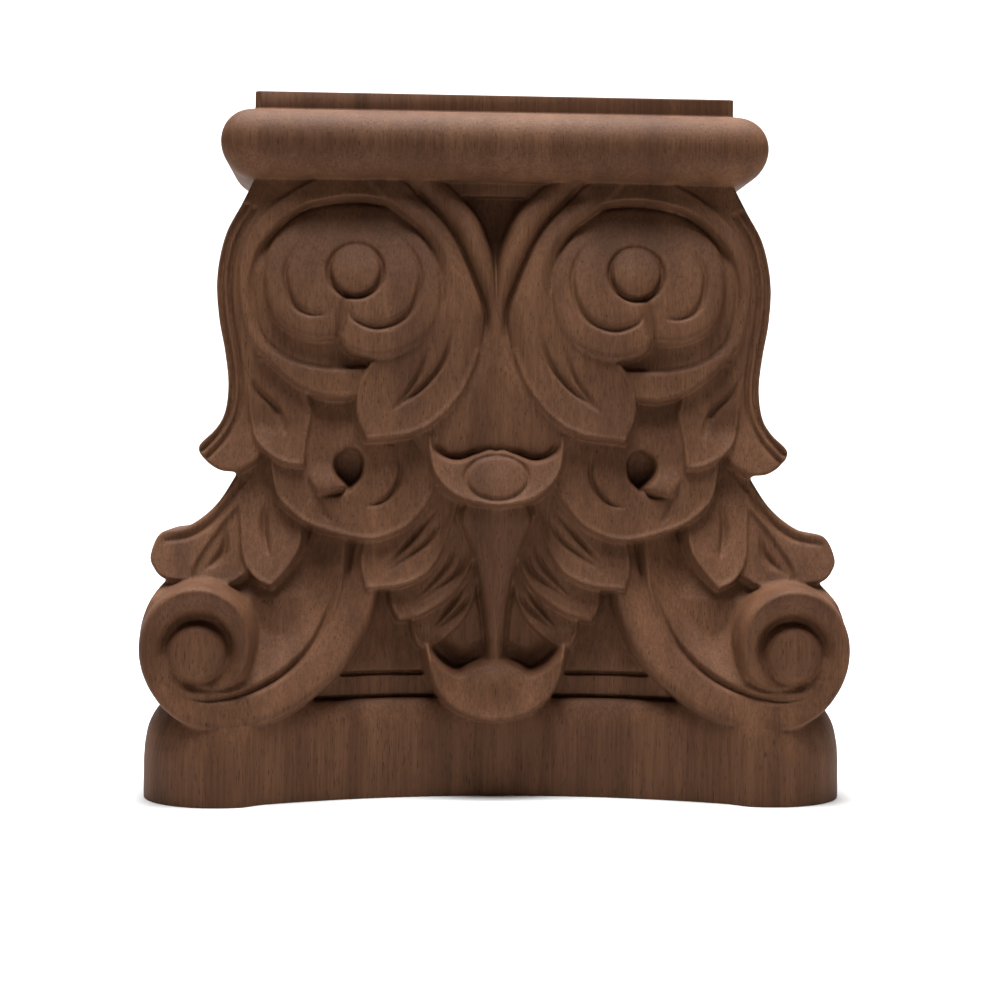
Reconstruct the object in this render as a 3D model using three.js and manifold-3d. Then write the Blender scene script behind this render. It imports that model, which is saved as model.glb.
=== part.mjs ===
// Carved wooden capital for a flat pilaster, standing upside down on its wide block.
// Millimetres. X runs across, Z up, the carved front faces -Y and the flat back faces +Y.
// The origin is in the middle of the underside. Depths are counted forwards from the flat back.
import * as THREE from "three";
import { mergeVertices } from "three/addons/utils/BufferGeometryUtils.js";
import Module from "manifold-3d";

const wasm = await Module();
wasm.setup();

// Driving dimensions
const WIDTH = 150; // over the two corner scrolls
const HEIGHT = 151; // underside of the block to the top of the fillet
const DEPTH = 54; // flat back to the front of the block's corners

// The block that it stands on
const BLOCK_HEIGHT = 20.5;
const BLOCK_MARGIN = 1.2; // how far a scroll stands out past the block's side
const BLOCK_CORNER_RADIUS = 16.4;
const BLOCK_FRONT_HOLLOW = 14;
const BLOCK_EDGE_ROUND = 3;
const BAND_HEIGHT = 5.6; // plain band between the block and the bell
const BAND_SETBACK = 4.2;
const LINE_HEIGHT = 0.8; // sunk lines above and below that band
const LINE_DEPTH = 1.6;

// The mouldings at the neck
const NECK_WIDTH = 105;
const NECK_DEPTH = 27;
const FILLET_HEIGHT = 4;
const HALF_ROUND_RADIUS = 7.6;
const NECK_EDGE_ROUND = 1.2;

// Top of the bell, where the half round starts
const CARVING_TOP = HEIGHT - FILLET_HEIGHT - 2 * HALF_ROUND_RADIUS;

// The carving is one free form, drawn in shares of the capital's own size. The width counts
// 150 shares, the depth 54, and the height counts 20.5 at the block and 131.8 at the half round.
const place = (x, z, depth) => new THREE.Vector3(
  WIDTH * x / 150,
  DEPTH / 2 - DEPTH * depth / 54,
  THREE.MathUtils.mapLinear(z, 20.5, 131.8, BLOCK_HEIGHT, CARVING_TOP),
);
const ROOT_DEPTH = 20; // carved forms are rooted this deep in the bell

// A closed solid from rings of points: ring after ring is joined, and both ends are closed
function solidFromRings(rings, closeEnd) {
  const count = rings[0].length;
  const positions = rings.flat().flatMap((p) => [p.x, p.y, p.z]);
  const index = [];
  for (let i = 0; i + 1 < rings.length; i += 1) {
    for (let j = 0; j < count; j += 1) {
      const a = i * count + j;
      const b = i * count + (j + 1) % count;
      index.push(a, b, b + count, a, b + count, a + count);
    }
  }
  const last = (rings.length - 1) * count;
  for (const [a, b, c] of closeEnd(count)) {
    index.push(c, b, a, last + a, last + b, last + c);
  }
  const geometry = new THREE.BufferGeometry();
  geometry.setAttribute("position", new THREE.Float32BufferAttribute(positions, 3));
  geometry.setIndex(index);
  return toSolid(geometry);
}

// The closed mesh as a solid, turned the right way out if its rings ran the other way
function toSolid(geometry) {
  geometry.deleteAttribute("normal");
  geometry.deleteAttribute("uv");
  const merged = mergeVertices(geometry, 1e-5);
  const vertProperties = new Float32Array(merged.attributes.position.array);
  const triVerts = new Uint32Array(merged.index.array);
  if (signedVolume(vertProperties, triVerts) < 0) {
    for (let i = 0; i < triVerts.length; i += 3) {
      [triVerts[i], triVerts[i + 1]] = [triVerts[i + 1], triVerts[i]];
    }
  }
  return new wasm.Manifold(new wasm.Mesh({ numProp: 3, vertProperties, triVerts }));
}

function signedVolume(points, triangles) {
  const corner = (i) => new THREE.Vector3().fromArray(points, triangles[i] * 3);
  let volume = 0;
  for (let i = 0; i < triangles.length; i += 3) {
    volume += corner(i).dot(corner(i + 1).cross(corner(i + 2)));
  }
  return volume;
}

// End of a flat ring: its outline is cut into triangles that run the same way round as the ring
const filled = (outline) => () => {
  const triangles = THREE.ShapeUtils.triangulateShape(outline, []);
  return THREE.ShapeUtils.isClockWise(outline) ? triangles.map((t) => t.reverse()) : triangles;
};

// End of a ribbon's ring: its front row runs one way and its back row returns
const laddered = (count) => {
  const triangles = [];
  for (let j = 0; j + 1 < count / 2; j += 1) {
    const across = count - 1 - j;
    triangles.push([j, j + 1, across], [j + 1, across - 1, across]);
  }
  return triangles;
};

// Stacks flat outlines, each a list of [x, depth] at its own height
function stack(outlines, heights) {
  const rings = outlines.map((outline, i) => outline.map(
    ([x, depth]) => new THREE.Vector3(x, DEPTH / 2 - depth, heights[i]),
  ));
  const flat = outlines[0].map(([x, depth]) => new THREE.Vector2(x, depth));
  return solidFromRings(rings, filled(flat));
}

// A carved form along a curve. Each stop is [x, z, half width, depth of its front].
// The section lists [share of the half width, rise], from the right of the way to its left.
function ribbon(stops, section, steps) {
  const curve = new THREE.CatmullRomCurve3(
    stops.map(([x, z, , depth]) => new THREE.Vector3(x, z, depth)),
    false,
    "catmullrom",
  );
  const widths = new THREE.CatmullRomCurve3(
    stops.map(([, , half]) => new THREE.Vector3(half, 0, 0)),
    false,
    "catmullrom",
  );
  const rings = [];
  for (let i = 0; i <= steps; i += 1) {
    const middle = curve.getPoint(i / steps);
    const half = Math.max(widths.getPoint(i / steps).x, 0.25);
    const way = curve.getTangent(i / steps).setZ(0).normalize();
    const at = (share, depth) => place(
      middle.x - way.y * half * share,
      middle.y + way.x * half * share,
      depth,
    );
    const front = section.map(([share, rise]) => at(share, middle.z + rise * Math.min(1, half / 2)));
    const back = section.map(([share]) => at(share, ROOT_DEPTH)).reverse();
    rings.push([...front, ...back]);
  }
  return solidFromRings(rings, laddered);
}

// A raised or sunken lobe. Its outline is a smooth closed curve through [x, z] points,
// and its front leans outwards as it goes down.
function lobe({ middle, outline, high, low, dome = 0.8, steps = 20 }) {
  const edge = new THREE.CatmullRomCurve3(
    outline.map(([x, z]) => new THREE.Vector3(x, z, 0)),
    true,
    "centripetal",
  );
  const [highZ, highDepth] = high;
  const [lowZ, lowDepth] = low;
  const lean = (z) => THREE.MathUtils.mapLinear(z, lowZ, highZ, lowDepth, highDepth);
  const centre = new THREE.Vector3(middle[0], middle[1], 0);
  const ring = (share, depthAt) => Array.from({ length: steps }, (_, i) => {
    const p = centre.clone().lerp(edge.getPointAt(i / steps), share);
    return place(p.x, p.y, depthAt(p.y));
  });
  const rings = [
    ring(1, () => ROOT_DEPTH),
    ring(1, (z) => lean(z)),
    ring(0.72, (z) => lean(z) + dome),
    ring(0.05, (z) => lean(z) + dome),
  ];
  return solidFromRings(rings, filled(circleOutline(steps)));
}

const circleOutline = (steps) => Array.from({ length: steps }, (_, i) => new THREE.Vector2(
  Math.cos(2 * Math.PI * i / steps),
  Math.sin(2 * Math.PI * i / steps),
));

const ellipse = (x, z, halfWidth, halfHeight, points = 8) => Array.from({ length: points }, (_, i) => [
  x + halfWidth * Math.cos(2 * Math.PI * i / points),
  z + halfHeight * Math.sin(2 * Math.PI * i / points),
]);

// The plan of the block: flat back, straight sides, rounded corners and a hollow front
function blockPlan(inset) {
  const half = WIDTH / 2 - BLOCK_MARGIN - inset;
  const radius = BLOCK_CORNER_RADIUS - inset;
  const cornerX = half - radius;
  const cornerDepth = DEPTH - BLOCK_CORNER_RADIUS;
  const hollowHalf = cornerX * 0.84;
  const hollow = BLOCK_FRONT_HOLLOW * 0.72;
  const hollowRadius = (hollowHalf ** 2 + hollow ** 2) / (2 * hollow);
  const right = [[half, 0]];
  for (const degrees of [0, 18, 36, 54, 72, 90, 110]) {
    const angle = THREE.MathUtils.degToRad(degrees);
    right.push([cornerX + radius * Math.cos(angle), cornerDepth + radius * Math.sin(angle)]);
  }
  for (const share of [0.84, 0.66, 0.46, 0.24]) {
    const x = cornerX * share;
    const out = hollowRadius - Math.sqrt(hollowRadius ** 2 - x ** 2);
    right.push([x, DEPTH - BLOCK_FRONT_HOLLOW - inset + out]);
  }
  const left = right.map(([x, depth]) => [-x, depth]).reverse();
  return [...right, [0, DEPTH - BLOCK_FRONT_HOLLOW - inset], ...left];
}

// The block with its rounded top edge, and the band between two sunk lines above it
function block() {
  const steps = [[0, 0], [BLOCK_HEIGHT - BLOCK_EDGE_ROUND * 2.2, 0]];
  for (const degrees of [30, 55, 80]) {
    const angle = THREE.MathUtils.degToRad(degrees);
    steps.push([
      BLOCK_HEIGHT - BLOCK_EDGE_ROUND * 2.2 * (1 - Math.sin(angle)),
      BLOCK_EDGE_ROUND * (1 - Math.cos(angle)),
    ]);
  }
  const line = BAND_SETBACK + LINE_DEPTH;
  const bandTop = BLOCK_HEIGHT + BAND_HEIGHT;
  steps.push([BLOCK_HEIGHT, line], [BLOCK_HEIGHT + LINE_HEIGHT, line]);
  steps.push([BLOCK_HEIGHT + LINE_HEIGHT, BAND_SETBACK], [bandTop - LINE_HEIGHT, BAND_SETBACK]);
  steps.push([bandTop - LINE_HEIGHT, line], [bandTop + 1, line]);
  return stack(steps.map(([, inset]) => blockPlan(inset)), steps.map(([z]) => z));
}

// A plain plan with small rounded front corners
function neckPlan(grow) {
  const half = NECK_WIDTH / 2 + grow;
  const depth = NECK_DEPTH + grow;
  const radius = NECK_EDGE_ROUND + grow * 0.35;
  const right = [[half, 0]];
  for (const degrees of [0, 45, 90]) {
    const angle = THREE.MathUtils.degToRad(degrees);
    right.push([half - radius + radius * Math.cos(angle), depth - radius + radius * Math.sin(angle)]);
  }
  const left = right.map(([x, y]) => [-x, y]).reverse();
  return [...right, ...left];
}

// The half round and the square fillet above it, both returned along the sides
function neck() {
  const middle = HEIGHT - FILLET_HEIGHT - HALF_ROUND_RADIUS;
  const steps = [[CARVING_TOP - 3, 0]];
  for (let degrees = -90; degrees <= 90; degrees += 18) {
    const angle = THREE.MathUtils.degToRad(degrees);
    steps.push([
      middle + HALF_ROUND_RADIUS * Math.sin(angle),
      HALF_ROUND_RADIUS * Math.cos(angle),
    ]);
  }
  steps.push([HEIGHT, 0]);
  return stack(steps.map(([, grow]) => neckPlan(grow)), steps.map(([z]) => z));
}

// The plain bell behind the carving: [z, half width, depth at the middle, depth at the corners]
const BELL = [
  [24, 66, 36, 41], [40, 60, 34.5, 37], [56, 56, 33.5, 35], [72, 54, 32.5, 32],
  [92, 54, 31, 30], [112, 54.5, 29, 28.5], [124, 53.5, 27, 27], [133, 51, 26, 26],
];

function bell() {
  const rows = BELL.map(([z, half, middle, corner]) => {
    const right = [[half, 0], [half, corner - 8], [half - 2, corner - 2.5], [half - 7, corner]];
    for (const share of [0.6, 0.3]) {
      right.push([half * share, THREE.MathUtils.lerp(middle, corner, share ** 2)]);
    }
    const left = right.map(([x, depth]) => [-x, depth]).reverse();
    return [...right, [0, middle], ...left].map(([x, depth]) => place(x, z, depth));
  });
  const flat = rows[0].map((p) => new THREE.Vector2(p.x, p.y));
  return solidFromRings(rows, filled(flat));
}

// The bell's side seen from the front: it swells under the neck and runs out into a leaf tip
const BELL_SIDE = [
  [52.5, 132], [55.3, 126], [58.7, 119], [60.3, 110], [59.9, 101.5], [58.4, 94], [57.7, 87],
  [58.4, 81], [60.3, 77.3], [63.4, 73.6], [61.8, 70.8], [58.3, 68.8], [54.5, 68.5],
];
const LEAF_SIDE = [
  [54.2, 68.4], [57.8, 62.4], [61.4, 59], [65.6, 56.5], [70.6, 55.3], [72.5, 50.9], [71.8, 48.2],
  [69.2, 45.8], [63.3, 45.5],
];

// A flat slab between a side outline and an inner edge, both listed downwards
function sideSlab(side, inner, from, to) {
  const outline = [...side, ...inner.toReversed()];
  const shape = outline.map(([x, z]) => new THREE.Vector2(x, z));
  const rings = [from, to].map((depth) => outline.map(([x, z]) => place(x, z, depth)));
  return solidFromRings(rings, filled(shape));
}

// The swirling ring of the rosette, which is also the inner edge of the bell's side
const RING = [
  [30.5, 130.4, 2.1, 33], [38, 129.3, 1.9, 33.2], [45, 126.6, 1.8, 33.8], [51.3, 121, 2, 34.5],
  [54.2, 112.5, 2.1, 35], [53.4, 103.6, 2.3, 35.5], [50, 96.3, 2.7, 36], [44.6, 90.8, 3, 36.5],
  [38, 87.7, 3.3, 37], [30, 87.4, 3.3, 38],
];
const RING_EDGE = [[45, 132], ...RING.slice(2, 9).map(([x, z]) => [x, z]), [42, 68.5]];

const DOMED = [[-1, -1.2], [-0.5, 0], [0.5, 0], [1, -1.2]];
const GROOVED = [[-1, -0.8], [-0.55, 0.2], [0, -1.1], [0.55, 0.4], [1, 0]];
const LEANING = [[-1, 0.6], [-0.2, 0.5], [0.1, -0.7], [0.5, 0], [1, -1.6]];

// Eye of the rosette: a swirling ring, a leaf that wraps the other side, two lobes and a button
function rosette() {
  const ring = ribbon(RING, DOMED, 20);
  const outer = lobe({
    middle: [39, 109], outline: ellipse(39, 109.3, 10.6, 12.8), high: [122, 30], low: [96, 39],
    steps: 18,
  });
  const inner = lobe({
    middle: [23, 108], outline: ellipse(23, 108.3, 11.3, 15.2), high: [123, 29.5], low: [93, 40],
    steps: 20,
  });
  const button = lobe({
    middle: [30.5, 112], outline: ellipse(30.5, 112, 5.8, 5.8), high: [118, 35], low: [106, 37.6],
    dome: 0.5, steps: 14,
  });
  return [ring, outer, inner, button];
}

// The leaf that wraps the inner side of the rosette and ends in a point below it
function wrappingLeaf() {
  return ribbon([
    [31.5, 130.4, 2.1, 33], [21, 128, 2.6, 33.5], [13.4, 119.5, 3.8, 34.5], [9, 109, 4.6, 36],
    [9, 98, 5.6, 37.5], [13.3, 89, 6.8, 39], [20, 82.6, 6.6, 41], [25.3, 78.4, 3.6, 42],
    [28, 75.3, 0.3, 42.5],
  ], GROOVED, 18);
}

// One arm of the forked stem that comes out from under the neck
function stemArm() {
  return ribbon([
    [15, 131, 4, 32], [8.4, 124, 3.7, 33.5], [4.2, 117, 3, 35], [1.6, 109, 2.6, 36], [0.6, 100, 2.4, 36],
  ], DOMED, 10);
}

// The fluted trunk between the two wrapping leaves, wider towards the upper cup
function trunk() {
  const halfFluted = [[0.14, 0.8], [0.3, -1], [0.55, -0.4], [1, -1.6]];
  const fluted = [...halfFluted.map(([share, rise]) => [-share, rise]).reverse(), ...halfFluted];
  return ribbon([
    [0, 106, 3.5, 36], [0, 96, 4.5, 36], [0, 86, 9.5, 36], [0, 76, 18, 36.5], [0, 66, 17, 36.5],
  ], fluted, 6);
}

// A cup of two curled tips with a bud in its middle. It is carved once above and once below.
function cup(rimZ, depth) {
  const across = [
    [14.2, 2.6, 0.3, -1.5], [12.9, -1.5, 1.7, -0.8], [10.9, -4.2, 2.8, 0], [8, -5.7, 3.6, 0.7],
    [4.2, -5.9, 5, 1.6],
  ];
  const half = (side) => across.map(([x, z, width, out]) => [side * x, rimZ + z, width, depth + out]);
  const lip = [[-1, 0.2], [-0.55, 1], [0.3, 0.2], [1, -1.2]];
  return ribbon([...half(-1), [0, rimZ - 5.8, 5.7, depth + 2.2], ...half(1).reverse()], lip, 22);
}

// Feather leaves fan out below the upper cup, each one over the next
function feathers() {
  const leaves = [
    { root: [4, 62], tip: [28, 47], broad: 4.4, bow: 0.4 },
    { root: [3, 60], tip: [20.4, 39.2], broad: 3.8, bow: 1 },
    { root: [1.8, 57], tip: [15.8, 32.4], broad: 3.2, bow: 1.6 },
  ];
  return leaves.map(({ root, tip, broad, bow }, i) => {
    const along = (share, sag) => [
      THREE.MathUtils.lerp(root[0], tip[0], share) - sag * bow,
      THREE.MathUtils.lerp(root[1], tip[1], share) - sag * bow * 0.6,
    ];
    return ribbon([
      [...along(0, 0), 1.5, 37 - i * 0.3],
      [...along(0.35, 1), broad * 0.78, 38.8 - i * 0.4],
      [...along(0.68, 1), broad, 41 - i * 0.4],
      [...along(1, 0), broad * 0.72, 43.6 - i * 0.4],
    ], LEANING, 8);
  });
}

// The large rounded leaf below the rosette, with the drilled eye
function loopLeaf() {
  const body = lobe({
    middle: [30, 67],
    outline: [
      [48.2, 71], [46.8, 63.6], [41, 57.7], [34, 55.2], [26.5, 54.3], [19.8, 56.8], [15.6, 61.5],
      [14.2, 68], [16, 75.5], [26, 79], [36, 82], [44, 79],
    ],
    high: [82, 33.5], low: [54.5, 41.5], dome: 0.6, steps: 26,
  });
  const eye = lobe({
    middle: [31.6, 69.2],
    outline: [[31.5, 73.1], [34.3, 70.4], [33.5, 67.3], [31.2, 65.2], [29.2, 68], [29, 71.3]],
    high: [73, 60], low: [65, 60], dome: 0, steps: 10,
  });
  return { body, eye };
}

// Leaf below the bell's side: the middle lobe beside the leaf tip that makes the outline
function upperSideLeaf() {
  const tip = lobe({
    middle: [57, 75],
    outline: [
      [56.5, 86], [58.7, 79.5], [62.6, 74.6], [61, 70.9], [57.4, 69.2], [53.6, 69], [50.6, 72],
      [52.3, 78.5],
    ],
    high: [86, 31], low: [69, 36.5], dome: 0.7, steps: 18,
  });
  const middle = lobe({
    middle: [46.8, 79],
    outline: [
      [52.5, 91], [52.8, 80], [51.6, 75.2], [48.6, 72], [44.8, 70], [41.4, 70], [41, 76], [40.2, 82],
      [43.5, 90],
    ],
    high: [90, 33.5], low: [70, 40], dome: 0.8, steps: 18,
  });
  return [tip, middle];
}

function lowerSideLeaf() {
  const tip = lobe({
    middle: [65.5, 51.5],
    outline: [
      [58, 61], [64.8, 56.4], [70.3, 55], [72.2, 50.7], [71.3, 48], [68.6, 45.8], [63.5, 47.4], [59, 53],
    ],
    high: [60, 38.5], low: [46, 45.5], dome: 0.6, steps: 18,
  });
  const second = lobe({
    middle: [58, 51],
    outline: [[62.8, 55], [63.3, 47.4], [58, 45], [53.2, 47.4], [53.5, 54], [55, 63], [60, 60.5]],
    high: [63, 36.5], low: [45, 44.5], dome: 0.7, steps: 16,
  });
  const third = lobe({
    middle: [48.5, 54],
    outline: [
      [54, 56], [53, 49], [50.6, 46], [47.2, 44.8], [43.8, 48.6], [40, 54], [42, 62], [50, 70],
      [54.4, 64],
    ],
    high: [70, 34], low: [45, 44], dome: 0.7, steps: 18,
  });
  return [tip, second, third];
}

// The stem that sweeps down to the corner, rolls up there as a scroll and ends at a button
function scroll() {
  const band = ribbon([
    [27, 57, 2.2, 38], [27.6, 49, 2.8, 40], [29.2, 41, 3.4, 42], [32.4, 33.6, 3.7, 44],
    [38.2, 26.8, 3.8, 46.5], [46.6, 21.6, 3.7, 50], [56.4, 19.4, 3.5, 53], [65.2, 21.8, 3.3, 53.6],
    [69.2, 28.4, 3.1, 53], [69.4, 35.2, 3.1, 52.4], [65, 41, 3.1, 52], [58.2, 41, 3, 51.5],
    [53.4, 36.6, 2.6, 51], [53.4, 30.4, 2.2, 50.5], [57.6, 26.6, 1.4, 50],
  ], DOMED, 38);
  const inside = ribbon([
    [35, 58, 3, 36.5], [36.6, 50, 4, 38], [38.4, 42.6, 5, 39.5], [42.8, 35.4, 5.2, 41.5],
    [49, 30, 4.4, 44], [56.5, 27.8, 3.5, 45.5], [63, 27.8, 2.5, 46],
  ], [[-1, 2.4], [-0.4, 0.3], [0.4, -1], [1, -1.6]], 12);
  const button = lobe({
    middle: [60.8, 32.6], outline: ellipse(60.8, 32.6, 6.3, 6.3), high: [38, 49], low: [26, 50.5],
    dome: 1.8, steps: 16,
  });
  const roll = lobe({
    middle: [61.8, 32], outline: ellipse(61.8, 32, 13.2, 13.2), high: [45, 43.5], low: [18, 43.5],
    dome: 4, steps: 24,
  });
  return [band, inside, button, roll];
}

const mirrored = (solid) => solid.mirror([1, 0, 0]);

function carving() {
  const loop = loopLeaf();
  const bellSide = sideSlab(BELL_SIDE, RING_EDGE, 16, 30);
  const leafSide = sideSlab(LEAF_SIDE, [[48, 68.4], [52, 45.5]], 18, 37);
  const half = [
    bellSide, leafSide, ...rosette(), wrappingLeaf(), stemArm(), ...feathers(), ...upperSideLeaf(),
    ...lowerSideLeaf(), ...scroll(), loop.body.subtract(loop.eye),
  ];
  const middle = [trunk(), cup(72.9, 42), cup(28, 46)];
  return [...half, ...half.map(mirrored), ...middle];
}

function toGeometry(solid) {
  const { vertProperties, triVerts } = solid.getMesh();
  const geometry = new THREE.BufferGeometry();
  geometry.setAttribute("position", new THREE.Float32BufferAttribute(vertProperties, 3));
  geometry.setIndex(Array.from(triVerts));
  geometry.computeVertexNormals();
  return geometry;
}

const wood = new THREE.MeshStandardMaterial({ color: 0x6b4c3a, roughness: 0.75, metalness: 0 });
wood.name = "dark hardwood";

const whole = [bell(), neck(), ...carving()].reduce((sum, solid) => sum.add(solid), block());
const capital = new THREE.Mesh(toGeometry(whole), wood);
capital.name = "carved_capital";

const model = new THREE.Group();
model.add(capital);
export default model;
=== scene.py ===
"""Looks of a carved wooden pilaster capital that stands upside down on its wide block.

The carving is modelled in millimetres as (x, z, depth), with the depth counted forwards from the
flat back. Its front is a relief: a depth on a fine grid, with the forms raised and the lines cut one
after the other. Plates take that depth, are merged with the plain body into one skin, and are
scaled to the frame's metres.
"""

import math

import bmesh
import bpy
import numpy as np
from mathutils import Matrix, Vector


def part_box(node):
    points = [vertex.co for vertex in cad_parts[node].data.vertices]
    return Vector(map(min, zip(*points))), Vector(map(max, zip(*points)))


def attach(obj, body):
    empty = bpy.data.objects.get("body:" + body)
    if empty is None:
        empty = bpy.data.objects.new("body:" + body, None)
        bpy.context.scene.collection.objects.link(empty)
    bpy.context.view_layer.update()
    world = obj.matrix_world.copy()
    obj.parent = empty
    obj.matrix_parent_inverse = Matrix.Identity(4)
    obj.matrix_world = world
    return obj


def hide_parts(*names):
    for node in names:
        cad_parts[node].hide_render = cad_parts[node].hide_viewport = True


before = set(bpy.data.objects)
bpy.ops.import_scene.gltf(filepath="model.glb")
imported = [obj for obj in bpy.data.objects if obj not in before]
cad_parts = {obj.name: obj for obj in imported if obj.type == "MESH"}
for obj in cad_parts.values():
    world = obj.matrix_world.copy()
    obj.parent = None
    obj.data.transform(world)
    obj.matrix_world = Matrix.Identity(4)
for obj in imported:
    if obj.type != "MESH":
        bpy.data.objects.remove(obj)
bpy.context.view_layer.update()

MM = 0.001
LOW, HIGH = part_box("carved_capital")
WIDTH = (HIGH.x - LOW.x) / MM
HEIGHT = (HIGH.z - LOW.z) / MM
DEPTH = (HIGH.y - LOW.y) / MM

# The block
BLOCK_HEIGHT = 20.5
BLOCK_HALF = WIDTH / 2 - 1.2
BLOCK_CORNER_RADIUS = 16.4
BLOCK_FRONT_HOLLOW = 14
HOLLOW_ARC_DEPTH = 0.72 * BLOCK_FRONT_HOLLOW
HOLLOW_END = 0.84  # where the hollow's arc meets the rounded corner, as a share of the way to it
BLOCK_EDGE_ROUND = 3
BLOCK_EDGE_RISE = 6.6
SHOULDER_START = 8
SHOULDER_FALL = 2.6  # the block's ends slope in by this much under the scrolls
BAND_HEIGHT = 5.6
BAND_SETBACK = 4.2
LINE_TOP = BLOCK_HEIGHT + BAND_HEIGHT
LINE_HEIGHT = 0.8
LINE_DEPTH = 1.6

# The neck mouldings
NECK_HALF = 52.5
NECK_DEPTH = 27
NECK_EDGE_ROUND = 1.2
NECK_ROOT = 3
FILLET_HEIGHT = 4
HALF_ROUND_RADIUS = 7.6
HALF_ROUND_SIDE = 0.92  # how far it stands out at the sides, as a share of its radius
HALF_ROUND_CORNER = 0.35  # how much of its swelling goes into the rounding of its corners
CARVING_TOP = HEIGHT - FILLET_HEIGHT - 2 * HALF_ROUND_RADIUS

# The plates start at these depths and have flat fronts, which then move to the relief's depth
CORE_ROOT = 16
LEAF_ROOT = 18
ROOT_DEPTH = 20
PLATE_FRONT = 30

# The relief's grid, the width of the raised lip along an edge, and the fineness of the meshes
RELIEF_FOOT = 10
GRID_PITCH = 0.25
LIP_WIDTH = 1.4
PLATE_VOXEL = 0.28
SKIN_VOXEL = 0.27
TRIANGLES = 195000


def smooth_path(stops, count):
    """Points on a smooth curve through the stops, evenly spaced in its own parameter."""
    p = np.array(stops, float)
    p = np.vstack([2 * p[0] - p[1], p, 2 * p[-1] - p[-2]])
    spans = len(stops) - 1
    t = np.linspace(0, spans, count)
    i = np.minimum(t.astype(int), spans - 1)
    f = (t - i)[:, None]
    a, b, c, d = p[i], p[i + 1], p[i + 2], p[i + 3]
    return 0.5 * (2 * b + (c - a) * f + (2 * a - 5 * b + 4 * c - d) * f**2 + (3 * b - a - 3 * c + d) * f**3)


def outline(*curves):
    """A closed outline of smooth curves, with a corner wherever one ends and the next starts."""
    return np.vstack([smooth_path(curve, 6 * len(curve)) for curve in curves])


def mirrored_outline(*curves):
    """An outline from a right half that starts and ends on the middle line."""
    half = outline(*curves)
    return np.vstack([half, half[::-1] * np.array([-1, 1])])


def disc(x, z, half_width, half_height, count=48):
    """The outline of a circle or an ellipse."""
    turn = np.arange(count) / count * 2 * math.pi
    return np.column_stack([x + half_width * np.cos(turn), z + half_height * np.sin(turn)])


def stack(plans, heights):
    """Rings of (x, z, depth) from flat plans of (x, depth), one above the other."""
    return [np.column_stack([p[:, 0], np.full(len(p), z), p[:, 1]]) for p, z in zip(plans, heights)]


def slab(edge, start, end):
    """Rings of (x, z, depth) for a flat plate between two depths."""
    return [np.column_stack([edge, np.full(len(edge), depth)]) for depth in (start, end)]


def mirrored_plan(right):
    """A flat plan of (x, depth) from its right half."""
    right = np.array(right, float)
    left = right[::-1] * np.array([-1, 1])
    return np.vstack([right, left])


def block_front(x, inset):
    """The depth of the block's hollowed front."""
    arc_half = (BLOCK_HALF - BLOCK_CORNER_RADIUS) * HOLLOW_END
    radius = (arc_half**2 + HOLLOW_ARC_DEPTH**2) / (2 * HOLLOW_ARC_DEPTH)
    return DEPTH - BLOCK_FRONT_HOLLOW - inset + radius - np.sqrt(radius**2 - x**2)


def block_plan(inset, shoulder):
    """The block's plan, with straight ends, rounded corners and the hollowed front between them."""
    half = BLOCK_HALF - inset - shoulder
    radius = BLOCK_CORNER_RADIUS - inset
    corner_x = half - radius
    corner_depth = DEPTH - BLOCK_CORNER_RADIUS - shoulder
    right = [[half, 0]]
    for degrees in range(0, 111, 5):
        angle = math.radians(degrees)
        right.append([corner_x + radius * math.cos(angle), corner_depth + radius * math.sin(angle)])
    for share in np.linspace(HOLLOW_END, 0.02, 24):
        x = corner_x * share
        right.append([x, block_front(x, inset)])
    return mirrored_plan(right)


def block():
    """The block with its rounded top edge, and the band between two sunk lines above it."""
    edge_start = BLOCK_HEIGHT - BLOCK_EDGE_RISE
    steps = [(0, 0)] + [(z, 0) for z in np.linspace(SHOULDER_START, edge_start, 3)]
    for degrees in range(10, 86, 10):
        angle = math.radians(degrees)
        z = BLOCK_HEIGHT - BLOCK_EDGE_RISE * (1 - math.sin(angle))
        steps.append((z, BLOCK_EDGE_ROUND * (1 - math.cos(angle))))
    line = BAND_SETBACK + LINE_DEPTH
    steps += [(BLOCK_HEIGHT, line), (BLOCK_HEIGHT + LINE_HEIGHT, line)]
    steps += [(BLOCK_HEIGHT + LINE_HEIGHT, BAND_SETBACK), (LINE_TOP - LINE_HEIGHT, BAND_SETBACK)]
    steps += [(LINE_TOP - LINE_HEIGHT, line), (LINE_TOP, line)]
    plans = []
    for z, inset in steps:
        slope = np.clip((z - SHOULDER_START) / (BLOCK_HEIGHT - SHOULDER_START), 0, 1)
        plans.append(block_plan(inset, SHOULDER_FALL * slope**2))
    return stack(plans, [z for z, _ in steps])


def neck():
    """The half round and the fillet, returned along both sides."""
    middle = HEIGHT - FILLET_HEIGHT - HALF_ROUND_RADIUS
    steps = [(CARVING_TOP - NECK_ROOT, 0)]
    for degrees in range(-90, 91, 6):
        angle = math.radians(degrees)
        steps.append((middle + HALF_ROUND_RADIUS * math.sin(angle), HALF_ROUND_RADIUS * math.cos(angle)))
    steps.append((HEIGHT, 0))
    plans = []
    for _, grow in steps:
        half = NECK_HALF + HALF_ROUND_SIDE * grow
        depth = NECK_DEPTH + grow
        radius = NECK_EDGE_ROUND + HALF_ROUND_CORNER * grow
        right = [[half, 0]]
        for degrees in range(0, 91, 15):
            angle = math.radians(degrees)
            right.append([half - radius * (1 - math.cos(angle)), depth - radius * (1 - math.sin(angle))])
        plans.append(mirrored_plan(right))
    return stack(plans, [z for z, _ in steps])


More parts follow.
